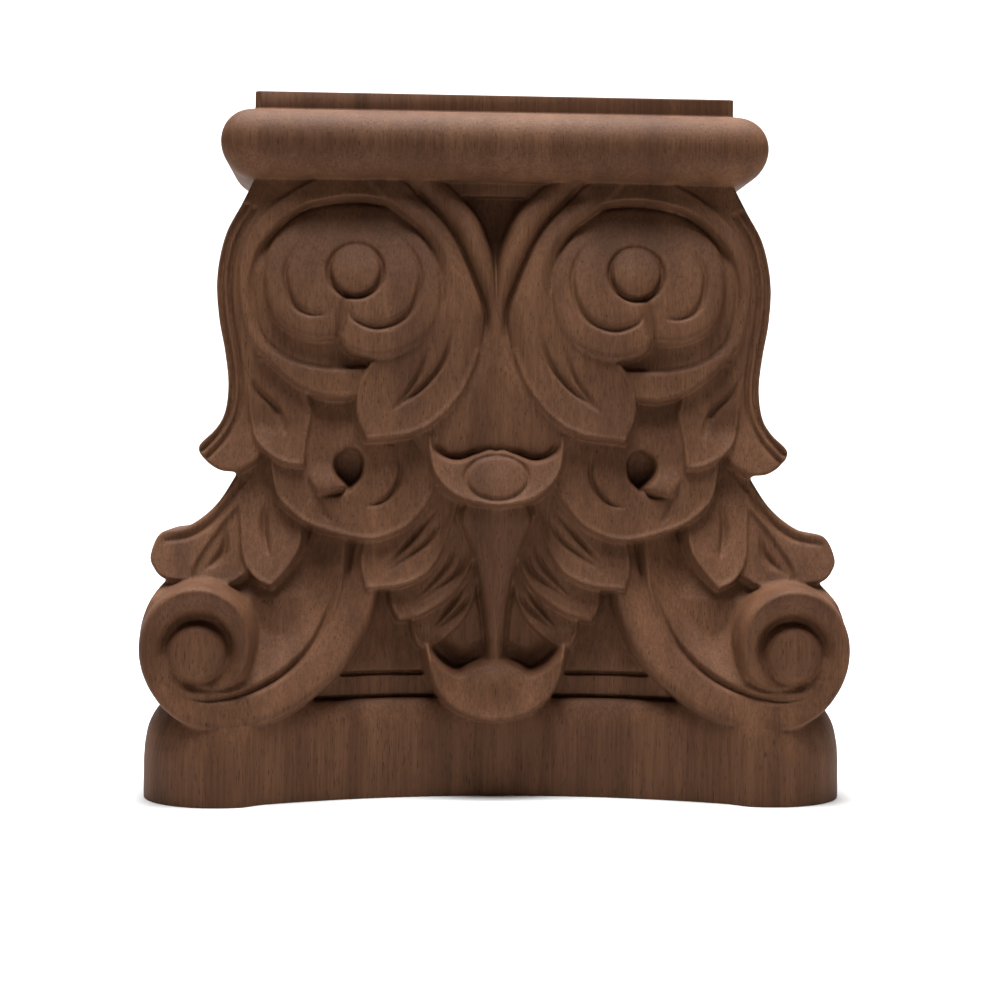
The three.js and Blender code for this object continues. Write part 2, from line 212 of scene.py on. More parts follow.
# The plain bell: (z, half width, depth at the middle, depth at the corners)
BELL = np.array([
    (10, 66, 33, 38), (24, 66, 33, 38), (40, 60, 34, 37), (56, 56, 33.5, 35), (72, 54, 32.5, 32),
    (92, 54, 31, 30), (112, 54.5, 28.5, 28.5), (124, 53.5, 25, 26.5), (136, 51, 21.5, 25),
])
BELL_SINK = 1.5  # how far the bell stays behind the relief's ground


def bell():
    """The body behind the carving."""
    plans = []
    rows = smooth_path(BELL[1:], 50)
    for _, half, middle, corner in rows:
        middle -= BELL_SINK
        corner -= BELL_SINK
        right = [[half, 0], [half, corner - 8], [half - 2, corner - 2.5], [half - 7, corner]]
        for share in np.linspace(0.7, 0.05, 10):
            right.append([half * share, middle + (corner - middle) * share**2])
        plans.append(mirrored_plan(right))
    return stack(plans, rows[:, 0])


# The silhouette's right half in three parts: the bell's side, the outer leaf and the scroll
BELL_SIDE = [
    (52.3, 132), (55, 126), (58.3, 119), (59.9, 110), (59.4, 101.5), (58, 94), (57.2, 87),
    (57.8, 81), (59.7, 77.3), (63.1, 73.6), (61.8, 70.8), (58.6, 68.6), (55.2, 68.2),
]
LEAF_SIDE = [
    (55, 68.1), (58.4, 62.4), (61.6, 59), (65.6, 56.5), (70.6, 55.3), (72.5, 50.9), (71.8, 48.2),
    (69.2, 45.8), (63.3, 45.5),
]
SCROLL_SIDE = [
    (74.2, 32), (73.8, 36.5), (72.5, 40.5), (70.6, 43.9), (68, 46.2), (64, 47), (58, 46.4), (52, 43),
    (48.8, 36), (48.4, 29), (49.4, 21), (53, 15.6), (58, 15), (63, 16.2), (67.3, 18.9), (70.6, 22.7),
    (73, 27.2),
]


def closed_mesh(forms, both_sides):
    """One mesh of closed forms given as rings of (x, z, depth), in the frame's directions."""
    every = [np.asarray(rings, float) for rings in forms]
    for rings in both_sides:
        rings = np.asarray(rings, float)
        every += [rings, rings * np.array([-1, 1, 1])]
    points = []
    faces = []
    count = 0
    for rings in every:
        stations, around = rings.shape[:2]
        corner = np.arange(stations * around).reshape(stations, around) + count
        after = np.roll(corner, -1, axis=1)
        quads = np.stack([corner[:-1], after[:-1], after[1:], corner[1:]], axis=-1).reshape(-1, 4)
        faces += [*quads.tolist(), corner[0][::-1].tolist(), corner[-1].tolist()]
        points.append(rings.reshape(-1, 3))
        count += stations * around
    points = np.vstack(points)
    return np.column_stack([points[:, 0], DEPTH / 2 - points[:, 2], points[:, 1]]), faces


def inside(edge, x, z):
    """How far each point lies inside an outline, less than nothing where it is outside."""
    nearest = np.full(x.shape, np.inf)
    within = np.zeros(x.shape, bool)
    for (ax, az), (bx, bz) in zip(edge, np.roll(edge, -1, axis=0)):
        along_x, along_z = bx - ax, bz - az
        length = max(along_x**2 + along_z**2, 1e-12)
        t = np.clip(((x - ax) * along_x + (z - az) * along_z) / length, 0, 1)
        nearest = np.minimum(nearest, (x - ax - t * along_x)**2 + (z - az - t * along_z)**2)
        if az != bz:
            within ^= ((az > z) != (bz > z)) & (x < ax + (z - az) * along_x / along_z)
    return np.sqrt(nearest) * np.where(within, 1, -1)


def beside(path, x, z):
    """How far each point lies to the left of a path, and the path's other values there."""
    nearest = np.full(x.shape, np.inf)
    offset = np.zeros(x.shape)
    values = [np.zeros(x.shape) for _ in path[0][2:]]
    for a, b in zip(path, path[1:]):
        along_x, along_z = b[0] - a[0], b[1] - a[1]
        length = math.hypot(along_x, along_z)
        t = np.clip(((x - a[0]) * along_x + (z - a[1]) * along_z) / length**2, 0, 1)
        away = np.hypot(x - a[0] - t * along_x, z - a[1] - t * along_z)
        closer = away < nearest
        nearest = np.where(closer, away, nearest)
        side = np.where((z - a[1]) * along_x - (x - a[0]) * along_z >= 0, 1, -1)
        offset = np.where(closer, away * side, offset)
        values = [np.where(closer, p + t * (q - p), v) for p, q, v in zip(a[2:], b[2:], values)]
    return offset, values


def lean(*stops):
    """A depth that changes smoothly with the height, from stops of (z, depth) listed downwards."""
    heights, depths = smooth_path(stops[::-1], 60).T
    return lambda x, z: np.interp(z, heights, depths)


def bump(x, z, middle, reach):
    """One at the middle, fading to nothing at about twice the reach."""
    return np.exp(-((x - middle[0])**2 + (z - middle[1])**2) / reach**2)


def ease(value):
    """A smooth step from 0 to 1."""
    value = np.clip(value, 0, 1)
    return value * value * (3 - 2 * value)


class Relief:
    """The depth of the carved front on a fine grid over one half, the other half being its mirror."""

    def __init__(self):
        self.xs = np.arange(0, WIDTH / 2 + 3, GRID_PITCH)
        self.zs = np.arange(RELIEF_FOOT, CARVING_TOP + 4, GRID_PITCH)
        x, z = np.meshgrid(self.xs, self.zs)
        half, middle, corner = (np.interp(z, BELL[:, 0], BELL[:, k]) for k in (1, 2, 3))
        share = x / half
        self.x, self.z = x, z
        self.depth = np.where(share < 0.98, middle + (corner - middle) * share**2, ROOT_DEPTH + 1)

    def window(self, points, margin):
        """The part of the grid around some points."""
        low = np.min(points, axis=0) - margin
        high = np.max(points, axis=0) + margin
        columns = slice(*np.searchsorted(self.xs, (low[0], high[0])))
        rows = slice(*np.searchsorted(self.zs, (low[1], high[1])))
        return rows, columns

    def plate(self, edge, surface, lip=0.0, lip_along=None, fall=0.3, fall_width=0.6, wall=6):
        """Raise a form inside an outline.

        Its rim rises to a lip, all round or along one path only, and falls again at the very edge.
        """
        part = self.window(edge, 4)
        x, z = self.x[part], self.z[part]
        d = inside(edge, x, z)
        rim = d if lip_along is None else np.abs(beside(smooth_path(lip_along, 60), x, z)[0])
        form = surface(x, z) + lip * (1 - np.clip(rim / LIP_WIDTH, 0, 1))**2
        form -= fall * (1 - np.clip(d / fall_width, 0, 1))**2
        form += np.minimum(d, 0) * wall
        self.depth[part] = np.maximum(self.depth[part], form)

    def sink(self, edge, surface, wall=8):
        """Lower what is inside an outline to a surface, down a steep wall."""
        part = self.window(edge, 0)
        x, z = self.x[part], self.z[part]
        d = inside(edge, x, z)
        floor = np.maximum(surface(x, z), self.depth[part] - wall * d)
        self.depth[part] = np.where(d > 0, np.minimum(self.depth[part], floor), self.depth[part])

    def band(self, stops, section, wall=5, steps=60):
        """Raise a band along stops of (x, z, half width, depth), with a section of (share, rise).

        A fifth value in the stops deepens the section there.
        """
        path = smooth_path(stops, steps)
        part = self.window(path[:, :2], 8)
        offset, (half, depth, *hollow) = beside(path, self.x[part], self.z[part])
        share, rise = smooth_path(section, 40).T
        form = depth + np.interp(offset / half, share, rise) * (hollow[0] if hollow else 1)
        form -= np.maximum(np.abs(offset) - half, 0) * wall
        self.depth[part] = np.maximum(self.depth[part], form)

    def groove(self, stops, soft=False, steps=40):
        """Cut a line along stops of (x, z, half width, depth), as a V, or as a soft hollow."""
        path = smooth_path(stops, steps)
        part = self.window(path[:, :2], 5)
        offset, (half, deep) = beside(path, self.x[part], self.z[part])
        share = np.clip(np.abs(offset) / np.maximum(half, 0.05), 0, 1)
        profile = (1 - ease(share)) if soft else (1 - share)
        self.depth[part] -= np.maximum(deep, 0) * profile

    def swell(self, middle, reach, rise):
        """Raise or lower the surface softly around one point."""
        self.depth += rise * bump(self.x, self.z, middle, reach)

    def soften(self):
        """Take the grid's own steps out of the surface."""
        for axis in (0, 1):
            ends = [(1, 1) if k == axis else (0, 0) for k in (0, 1)]
            wide = np.pad(self.depth, ends, mode="edge")
            before, after = (np.take(wide, range(k, k + self.depth.shape[axis]), axis) for k in (0, 2))
            self.depth = 0.5 * self.depth + 0.25 * (before + after)

    def at(self, x, z):
        """The depth at any points, between those of the grid."""
        column = np.clip(np.abs(x) / GRID_PITCH, 0, len(self.xs) - 1.001)
        row = np.clip((z - self.zs[0]) / GRID_PITCH, 0, len(self.zs) - 1.001)
        i, j = row.astype(int), column.astype(int)
        u, v = row - i, column - j
        upper = self.depth[i, j] * (1 - v) + self.depth[i, j + 1] * v
        lower = self.depth[i + 1, j] * (1 - v) + self.depth[i + 1, j + 1] * v
        return upper * (1 - u) + lower * u


# The section of a plain rounded band, as (share of the half width, rise)
ROUNDED = [(-1, -1.3), (-0.5, -0.1), (0, 0.1), (0.5, -0.1), (1, -1.3)]


def carve_side(relief):
    """The bell's side, which follows the silhouette in narrow bands down to its leaf tip."""
    side = lean((136, 27), (120, 31.6), (109, 33.2), (97, 34.2), (86, 34.8), (78, 35.8), (68, 38.3))
    inner = [(54.5, 68.5), (50.4, 71.5), (50, 78), (51, 90), (48, 110), (40, 125), (36, 136)]
    relief.plate(outline(BELL_SIDE, inner), side, lip=0.3)
    notch = [(47, 73), (55.4, 69.5), (56.5, 64), (56, 54), (47, 56)]
    relief.plate(np.array(notch, float), lean((74, 33.8), (66, 35.4), (56, 37)))
    # Two lines follow the edge, inwards from it, and at the leaf's tip also below it
    inwards = (1, 1, 1, 1, 1, 1, 1, 0.8, 0.6)
    downwards = (0.4, 0.2, 0, 0, 0, 0, 0, 0.6, 0.9)
    for inset, deep in ((1, 1.6), (2.8, 1.5)):
        line = []
        for (x, z), along_x, along_z in zip(BELL_SIDE[1:10], inwards, downwards):
            line.append((x - inset * along_x, z - inset * along_z, 0.7, deep))
        relief.groove(line)


# The ring's outer edge, and the inner edge where its hollow starts
RING_EDGE = [
    (34, 136), (39, 132), (44.4, 128.7), (50.3, 123.5), (53.9, 117.5), (55.1, 109), (53.1, 97.8),
    (47.8, 91.3), (41.2, 86.2), (35.3, 84.2), (30, 84.6),
]
RING_GROOVE = [
    (13.5, 101), (12.8, 111), (15.7, 120.7), (21, 126), (30.5, 128), (41.5, 125.8), (47.5, 121),
    (51.6, 115), (52.6, 107.6), (50.6, 97.8), (45, 92.8), (38.5, 90.9), (33.2, 90.5), (26, 90.8),
]
ROSETTE_BUTTON = (30.3, 111.8)
ROSETTE_BUTTON_RADIUS = 5.75


def carve_ring(relief):
    """The swirling ring around the rosette and the hollow inside it."""
    ring = lean((137, 26), (130, 29.4), (120, 32.5), (109, 34.4), (97, 35.5), (88, 36.6), (83, 37.4))
    relief.plate(outline(RING_EDGE, [(30, 84.6), (22, 89), (14, 104), (18, 124), (22, 136)]), ring, lip=0.4)

    def dish(x, z):
        hollow = 2.2 * bump(x, z, (30.3, 93.8), 5)
        top = 4 * ease((z - 110) / 16)
        return ring(x, z) - 0.9 - hollow - top

    relief.sink(outline(RING_GROOVE), dish, wall=14)
    line = [(x, z, 0.8, 0.8) for x, z in RING_GROOVE[8:13]]
    relief.groove([(51.6, 114, 0.2, 0)] + line + [(30, 90.6, 0.2, 0)])


def carve_lobes(relief):
    """Two lobes that curl around a button inside the ring."""
    x0, z0 = ROSETTE_BUTTON
    lobes = lean((128, 26.4), (122, 29.4), (117, 32), (111, 34.2), (104, 35.8), (97, 37), (92, 37.8))
    outer = outline(
        [(29, 127), (30, 112), (32.6, 103), (33.7, 96.9)],
        [(33.7, 96.9), (39.4, 96.6), (44.2, 98.3), (47.8, 101.8), (49.4, 107.5), (49.2, 115.4), (46, 121.5),
         (39, 126), (29, 127)])
    inner = outline(
        [(31, 127), (31.5, 112), (33, 103), (33.6, 96.8)],
        [(33.6, 96.8), (31.2, 94.3), (26.3, 92.9), (20.7, 93.8), (15.4, 97.2), (12.6, 102.1), (12.1, 107.8),
         (13.2, 114.4), (16.8, 120.5), (22, 125.5), (31, 127)])
    relief.plate(outer, lobes, fall=0.6, fall_width=1.6)
    relief.plate(inner, lambda x, z: lobes(x, z) + 0.2, fall=0.5, fall_width=1.4)
    relief.groove([(32.2, 106.5, 1.6, 0.5), (32.8, 101, 2, 1), (33.6, 96.8, 1.2, 1.2)], soft=True)
    relief.groove([(41.9, 118.7, 0.3, 0.1), (45, 113, 0.7, 0.9), (45, 108.1, 0.8, 1.3),
                   (43.2, 103.9, 0.9, 1.4), (39.9, 102, 0.8, 1.1), (36.2, 101.8, 0.3, 0.1)])
    relief.groove([(20.9, 119, 0.3, 0.2), (18, 115.8, 0.5, 0.8), (16.3, 110.7, 0.7, 1.1),
                   (17.6, 104.5, 0.9, 1.4), (20.7, 100.9, 1, 1.6), (25.6, 99.4, 1, 1.7),
                   (30.1, 100.8, 0.8, 1.2), (31.8, 102.9, 0.3, 0.1)])
    crevice = []
    for degrees in range(60, 421, 20):
        angle = math.radians(degrees)
        low = 0.5 - 0.5 * math.sin(angle)
        x = x0 + ROSETTE_BUTTON_RADIUS * math.cos(angle)
        z = z0 + ROSETTE_BUTTON_RADIUS * math.sin(angle)
        crevice.append((x, z, 0.55 + 0.5 * low, 0.9 + 2 * low))
    relief.groove(crevice)
    relief.swell((x0, z0 - 0.3), 3.6, 0.6)


def carve_wrapping_leaf(relief):
    """The leaf that wraps the rosette on its inner side, the stem beside it and the trunk below."""
    relief.band([(20, 136, 3, 27), (8.6, 124.3, 3, 31.8), (5.2, 118, 2.8, 33.4), (2.9, 112, 2.3, 34.3),
                 (1.4, 105, 1.5, 34.9), (0.9, 97, 1.2, 35.4)], ROUNDED)
    trunk = lean((106, 33), (100, 34.9), (95, 35.9), (86, 37), (76, 38.2), (66, 38.4))
    relief.plate(mirrored_outline([(0, 104), (0.8, 104), (3.5, 96), (7, 87), (12, 80), (17.5, 77)],
                                  [(17.5, 77), (15.2, 73), (13, 68), (0, 60)]), trunk)
    folds = [((1, 100), (1.4, 72)), ((3, 92), (5, 71)), ((6.5, 86), (9, 71)), ((10, 81), (12.5, 73))]
    for top, foot in folds:
        relief.groove([(*top, 0.8, 0.1), (*foot, 1.2, 0.4)], soft=True, steps=4)

    leaf = lean((137, 26.6), (130, 29.8), (120, 33), (109, 35), (98, 36.2), (89, 37.2), (82, 38.3),
                (74, 40))
    outer = [(25, 136), (17.6, 129.3), (12.7, 124.2), (8.6, 118.1), (4.9, 109.6), (2.6, 102.3),
             (3.7, 94.2), (7, 86.1), (12.2, 79.9), (18.2, 76.5), (27.5, 75.2)]
    inner = [(27.5, 75.2), (29.5, 79.7), (29.8, 83.8), (29.1, 87.4), (26.7, 91.8)]
    back = [(26.7, 91.8), (24, 96), (16, 101), (12.4, 106), (13, 115), (17, 122), (25, 128.5), (32, 136)]
    relief.plate(outline(outer, inner, back), leaf, lip=0.9, lip_along=outer[6:] + inner[1:])
    relief.groove([(x, z, 3.2, 1.3) for x, z in outer[1:7]] + [(7, 86.1, 2.5, 0.3)], soft=True)
    relief.groove([(x - 0.5, z, 0.8, 1.2) for x, z in outer[1:6]] + [(2.9, 96, 0.3, 0.1)])
    relief.groove([(17, 122.5, 2, 0.6), (12.8, 114, 2.6, 1.2), (12.4, 106, 2.4, 1), (15, 99, 1.4, 0.2)],
                  soft=True)
    relief.groove([(9.2, 99.5, 0.3, 0.2), (11.3, 92.5, 0.7, 1.7), (15.8, 86.6, 0.75, 2),
                   (22.4, 81.4, 0.3, 0.2)])
    relief.groove([(13.8, 97, 0.3, 0.2), (16.4, 90, 0.65, 1.5), (18.8, 85.8, 0.65, 1.5),
                   (22, 82, 0.3, 0.2)])


def carve_side_leaves(relief):
    """The lobes that hang below the ring, and the fan of lobes above the scroll."""
    upper = lean((94, 33.6), (85, 35), (78, 36.5), (69, 39))
    relief.plate(outline(
        [(52.5, 92), (52.9, 85), (52, 78.5), (51.1, 75.1), (48.3, 72), (44.1, 69.9), (40.8, 69.6)],
        [(40.8, 69.6), (40.3, 75.6), (39.4, 80.5), (39.9, 83.7), (42.5, 90), (47, 94)]), upper, lip=0.9)
    relief.swell((49, 79), 3.2, -1.3)
    relief.groove([(53.6, 90.5, 0.4, 0.4), (50.9, 85.7, 0.9, 1.6), (47.5, 82.5, 1.1, 1.9),
                   (45.4, 78.6, 0.9, 1.5), (44.7, 76, 0.3, 0.2)])

    fan = lean((70, 34), (60, 37.4), (52, 40.4), (44, 43.4))
    outer = outline(LEAF_SIDE, [(63.3, 45.5), (63.4, 48), (60, 54), (54, 62)])
    relief.plate(outer, lambda x, z: fan(x, z) + 0.6, lip=0.3)
    relief.plate(outline(
        [(60, 60), (63, 53), (63.3, 47)],
        [(63.3, 47), (61, 45.2), (58.4, 44.5), (55.4, 45), (52.6, 46.8)],
        [(52.6, 46.8), (52, 54), (54, 64)]), lambda x, z: fan(x, z) - 0.3, lip=0.7)
    relief.plate(outline(
        [(54.6, 64), (53.9, 56), (53.5, 51.4), (52.2, 48), (50.2, 45.7), (47.2, 44.3)],
        [(47.2, 44.3), (44.9, 46.8), (42.4, 50.4), (41.2, 54), (41.2, 58)],
        [(41.2, 58), (43, 64), (50, 70)]), lambda x, z: fan(x, z) + 0.1, lip=0.9)
    relief.groove([(54, 67.5, 0.3, 0.3), (56.2, 62.4, 0.9, 1.3), (59.6, 58, 0.9, 1.3),
                   (64.2, 54.9, 0.9, 1.2), (69.5, 53.6, 0.5, 0.6)])
    relief.groove([(56.9, 56.5, 0.3, 0.1), (57.3, 52, 1.1, 1.5), (58.6, 49.8, 1.1, 1.5),
                   (61, 47.7, 0.4, 0.3)])
    relief.groove([(48.6, 62.5, 0.5, 0.2), (49.1, 57.3, 1.2, 1.6), (48.6, 53.5, 1, 1.5),
                   (47.6, 50, 0.3, 0.2)])


def carve_loop(relief):
    """The broad rounded leaf around a pierced eye."""
    face = lean((92, 31.6), (82, 34.4), (75, 36.5), (70, 37.5), (62, 39.1), (53, 41))
    rim = [(48.5, 77), (47.9, 70.7), (46.5, 63.6), (43.5, 60), (40.3, 57.7), (35.3, 55.8), (28.8, 54.3),
           (24.3, 54.6), (19.3, 56.8), (15.7, 60.5), (13, 64.8), (11, 69)]
    relief.plate(outline(rim, [(11, 69), (16, 76), (24, 84), (34, 88), (43, 86), (48.5, 77)]), face,
                 lip=1, lip_along=rim[1:])
    relief.plate(outline(
        [(37.6, 63.8), (34.5, 64.3), (31.6, 65.4)],
        [(31.6, 65.4), (33.6, 67.6), (35, 71), (39, 71)],
        [(39, 71), (39.5, 67), (37.6, 63.8)]), lambda x, z: face(x, z) + 1.2 * ease((71 - z) / 6), fall=0.2)
    relief.groove([(31, 65, 0.5, 1.6), (33.6, 63.9, 0.7, 2), (37.6, 63.5, 0.3, 0.3)])
    relief.groove([(37.3, 63, 0.5, 0.6), (36.2, 59.5, 0.8, 0.9), (34.8, 57.6, 0.2, 0.1)])
    relief.groove([(21, 74, 0.3, 0.1), (20.3, 68.5, 0.7, 1.5), (21.6, 64.8, 0.8, 2.1),
                   (24.2, 62.2, 0.8, 1.8), (27.8, 61.1, 0.3, 0.1)])
    relief.sink(outline([(31.5, 73.8), (34.3, 71.6), (34.3, 68), (31.2, 64.2)],
                        [(31.2, 64.2), (28.6, 67), (28.1, 70.8), (29.4, 73.2), (31.5, 73.8)]),
                lambda x, z: face(x, z) - 3.4 - 0.5 * (73 - z))


# Each leaf of the fan below the upper cup, from the lowest one up: its outer edge down to the tip,
# its lower edge, its hidden edge, its depths and its veins
FEATHERS = [
    ([(17.5, 41), (17.6, 36.2), (16.8, 33.1), (15, 30.8)],
     [(15, 30.8), (11.6, 32.8), (6.8, 37.4), (4.3, 43.1), (3.6, 48)],
     [(3.6, 48), (6, 56), (12, 46), (17.5, 41)], ((56, 37), (44, 38), (38, 39.2), (31, 41)),
     [[(6.6, 44.6), (9.4, 40.3), (13.8, 35)], [(4.8, 43.2), (7.2, 39.6), (13.4, 34.6)]]),
    ([(22.5, 46), (22.2, 42.7), (21.8, 40.1), (20.4, 37.4)],
     [(20.4, 37.4), (14.8, 38.9), (8.4, 43.5), (5.1, 49.3), (4.3, 53.5), (3.4, 60)],
     [(3.4, 60), (10, 62), (22.5, 46)], ((62, 37.2), (50, 38.5), (44, 39.8), (37, 41.7)),
     [[(8.4, 54), (10.6, 48.2), (17.2, 41.4)], [(6.6, 52.4), (8.4, 46.9), (16.8, 41)]]),
    ([(27, 57), (28.5, 51.2), (28.3, 47), (27.3, 43.8)],
     [(27.3, 43.8), (20.4, 44.5), (14.8, 47), (11.6, 51.6), (10, 56.2), (8, 62)],
     [(8, 62), (14, 66), (27, 57)], ((64, 37.2), (56, 38.4), (50, 40), (43, 42.3)),
     [[(12.8, 60.4), (17.6, 54.6), (24.2, 47.3)], [(11.6, 58.6), (14.8, 53.4), (23.8, 46.9)]]),
]


def carve_feathers(relief):
    """Leaves that fan out below the upper cup, the outer ones over the inner ones, and a rib."""
    relief.plate(mirrored_outline([(0, 62), (8, 60), (13, 52), (16, 42), (14.5, 31)],
                                  [(14.5, 31), (9, 26), (0, 25)]),
                 lean((60, 38), (46, 37.6), (35, 37.6), (26, 38.2)))
    relief.band([(0, 58, 7.2, 41.6), (0, 53, 5.7, 41.1), (0, 48, 4.2, 40.6), (0, 42, 2.9, 40.1),
                 (0, 35, 2.1, 39.8), (0, 28, 1.8, 40.3), (0, 23, 1.8, 41.4)], ROUNDED)
    relief.groove([(9.4, 60, 0.3, 0.2), (6.9, 56, 0.8, 1.3), (4.8, 49, 0.9, 1.5), (3.3, 42, 0.8, 1.3),
                   (2.4, 35, 0.7, 1), (2.1, 27, 0.4, 0.6)])
    for outer, lower, hidden, depths, veins in FEATHERS:
        relief.plate(outline(outer, lower, hidden), lean(*depths), lip=1, lip_along=outer + lower[1:])
        for start, middle, end in veins:
            relief.groove([(*start, 0.3, 0.3), (*middle, 0.75, 2), (*end, 0.2, 0.1)])


def carve_foot(relief):
    """The plain ground that rises from the line above the block."""
    level_from = 45  # from here outwards the ground no longer follows the hollow
    bend = 42  # above this height it falls back faster

    def ground(x, z):
        out = block_front(np.minimum(x, level_from), BAND_SETBACK)
        return out - 0.16 * (z - LINE_TOP) - 0.45 * np.maximum(z - bend, 0)

    relief.plate(np.array([(0, LINE_TOP), (57, LINE_TOP), (57, 62), (0, 62)], float), ground, wall=30, fall=0)


def carve_cups(relief):
    """A cup with a seed in it, and a deeper one at the foot whose seed swells out of its lip."""
    relief.groove([(13.6, 74.5, 0.6, 0.4), (10.4, 71.8, 1.5, 2.2), (7.8, 71.4, 1.7, 2.6),
                   (4.4, 72.6, 1.5, 2.2), (0, 73.4, 1.1, 1.2)], soft=True)
    brim = [(0, 72.8), (1.7, 73), (4.4, 72), (7.8, 70.8), (10.4, 71.2), (13.2, 73), (14.3, 76.5)]
    bowl = [(14.3, 76.5), (14.1, 71.5), (12.8, 67.6), (10.2, 64.7), (6.5, 62.6), (0, 61.4)]
    relief.plate(mirrored_outline(brim, bowl), lean((77, 38.6), (72, 40), (67, 41.8), (61, 44.2)),
                 lip=0.7, lip_along=bowl)
    seed = [(x, z, 0.6, 0.9) for x, z in disc(0, 67.4, 6.7, 4.7, 24)]
    relief.groove(seed + seed[:1])
    relief.swell((0, 67.6), 4, 0.5)

    relief.groove([(14, 33.5, 3, 0.8), (11, 29.4, 4.6, 3), (7.6, 27.4, 5, 3.8), (4.4, 29, 4, 2.8),
                   (1.8, 32, 2, 0.8)], soft=True)

    def hollow_cup(x, z):
        lip = 45.8 - 0.55 * np.clip(z - 17, 0, 20) + 0.03 * x**2 * np.clip((z - 17) / 12, 0, 1)
        seed = 3 * np.exp(-(x / 4.6)**2 - ((z - 25.5) / 4.5)**2)
        return lip + seed

    brim = [(0, 28.4), (2, 28.2), (4.9, 27), (7.6, 25.5), (11, 27.2), (13.4, 29.6), (14.4, 32)]
    bowl = [(14.4, 32), (13.8, 27.4), (12.1, 22.9), (9.2, 19.6), (4.9, 17.4), (0, 16.6)]
    relief.plate(mirrored_outline(brim, bowl), hollow_cup, lip=0.3)


SCROLL_BUTTON = (61.9, 31.3)
SCROLL_BUTTON_RADIUS = 6.3


def carve_scroll(relief):
    """The stem that sweeps down to the corner and rolls up around a button."""
    x0, z0 = SCROLL_BUTTON

    def back(x, z):
        return 47 - 4.4 * ease((z - 41) / 4) - 4 * ease((60 - x) / 9)

    relief.plate(outline(SCROLL_SIDE + SCROLL_SIDE[:1]), back, fall=1, fall_width=1.4)
    relief.plate(disc(x0, z0, 11.4, 11.4), lambda x, z: 49.2 - 1.4 * bump(x, z, (x0, z0 + 5), 7))
    relief.band([(35, 58, 3, 36.5), (36.6, 50, 4.4, 38), (38.8, 42.6, 5.6, 40), (43.4, 35.4, 6, 42.8),
                 (49.4, 29.6, 5, 46.6), (56.5, 25.8, 3.6, 49.6), (63, 24.6, 2, 50.4), (67, 26, 0.8, 50.4)],
                [(-1, 2), (-0.4, 0.4), (0.4, -0.9), (1, -1.5)], wall=2)
    relief.band([(27, 58, 2.2, 38.5, 1), (27.6, 49, 2.9, 40.5, 1), (29.2, 41, 3.6, 42.4, 1),
                 (32.4, 33.6, 4, 44.4, 1), (38.2, 26.8, 4.2, 46.9, 1), (46.6, 21.4, 4.2, 50.2, 1),
                 (56.4, 19, 3.9, 52.8, 1.1), (64.2, 20.9, 3.6, 53.2, 1.4), (68.8, 27, 3.8, 53, 1.9),
                 (69.6, 34, 3.9, 52.8, 2.1), (66.2, 39.7, 4, 52.8, 2.1), (60.4, 41.2, 3.9, 52.8, 2.1),
                 (55.2, 38.2, 3.6, 52.4, 2), (53.3, 32.8, 3, 52, 1.7), (54.4, 28.2, 2.4, 51.8, 1.3),
                 (57.6, 25.4, 1.7, 51.4, 1), (61.2, 24.9, 0.8, 50.8, 0.8)],
                [(-1, -1), (-0.8, -0.1), (-0.55, 0), (-0.1, -0.4), (0.4, -0.9), (1, -1.6)],
                wall=12, steps=160)
    relief.plate(disc(x0, z0, SCROLL_BUTTON_RADIUS, SCROLL_BUTTON_RADIUS),
                 lambda x, z: 52.8 - 0.03 * ((x - x0)**2 + (z - z0)**2), fall=1.4, fall_width=1.6)
    crevice = []
    crevice_radius = SCROLL_BUTTON_RADIUS + 0.6
    for degrees in range(0, 221, 20):
        angle = math.radians(degrees)
        high = max(0, math.sin(angle + 0.35 * math.cos(angle)))
        x = x0 + crevice_radius * math.cos(angle)
        z = z0 + crevice_radius * math.sin(angle)
        crevice.append((x, z, 1.2 + 0.9 * high, 0.3 + 1.9 * high))
    relief.groove(crevice, soft=True)
    relief.groove([(64.5, 22.4, 0.3, 0.1), (58.6, 21.6, 0.7, 1.3), (51.1, 23.2, 0.9, 2.2),
                   (44.4, 26.6, 0.9, 2.2), (39.1, 31.6, 0.9, 1.9), (35.8, 37.6, 0.8, 1.5),
                   (33, 46.2, 0.3, 0.2)])


def carved_relief():
    """The whole relief, in which the later forms lie over the earlier ones."""
    relief = Relief()
    for carve in (carve_foot, carve_side, carve_side_leaves, carve_ring, carve_loop,
                  carve_wrapping_leaf, carve_lobes, carve_feathers, carve_cups, carve_scroll):
        carve(relief)
    relief.soften()
    return relief


def mesh_object(name, points, faces):
    """A new object in the scene from points and faces."""
    mesh = bpy.data.meshes.new(name)
    mesh.from_pydata(points.tolist(), [], faces)
    mesh.update()
    obj = bpy.data.objects.new(name, mesh)
    bpy.context.scene.collection.objects.link(obj)
    return obj


def with_modifier(obj, kind, **settings):
    """The object's mesh after one modifier, as its new mesh."""
    modifier = obj.modifiers.new(kind.lower(), kind)
    for key, value in settings.items():
        setattr(modifier, key, value)
    bpy.context.view_layer.update()
    graph = bpy.context.evaluated_depsgraph_get()
    mesh = bpy.data.meshes.new_from_object(obj.evaluated_get(graph))
    obj.modifiers.clear()
    obj.data = mesh


def shape_plates(plates, relief):
    """Move the flat fronts of the plates to the depth of the relief, and their sides along with them."""
    count = len(plates.data.vertices)
    places = np.empty(count * 3)
    plates.data.vertices.foreach_get("co", places)
    places = places.reshape(count, 3)
    depth = DEPTH / 2 - places[:, 1]
    share = np.clip((depth - ROOT_DEPTH) / (PLATE_FRONT - ROOT_DEPTH), 0, None)
    front = relief.at(places[:, 0], places[:, 2])
    places[:, 1] -= np.where(share > 0, share * (front - PLATE_FRONT), 0)
    plates.data.vertices.foreach_set("co", places.ravel())
    plates.data.update()


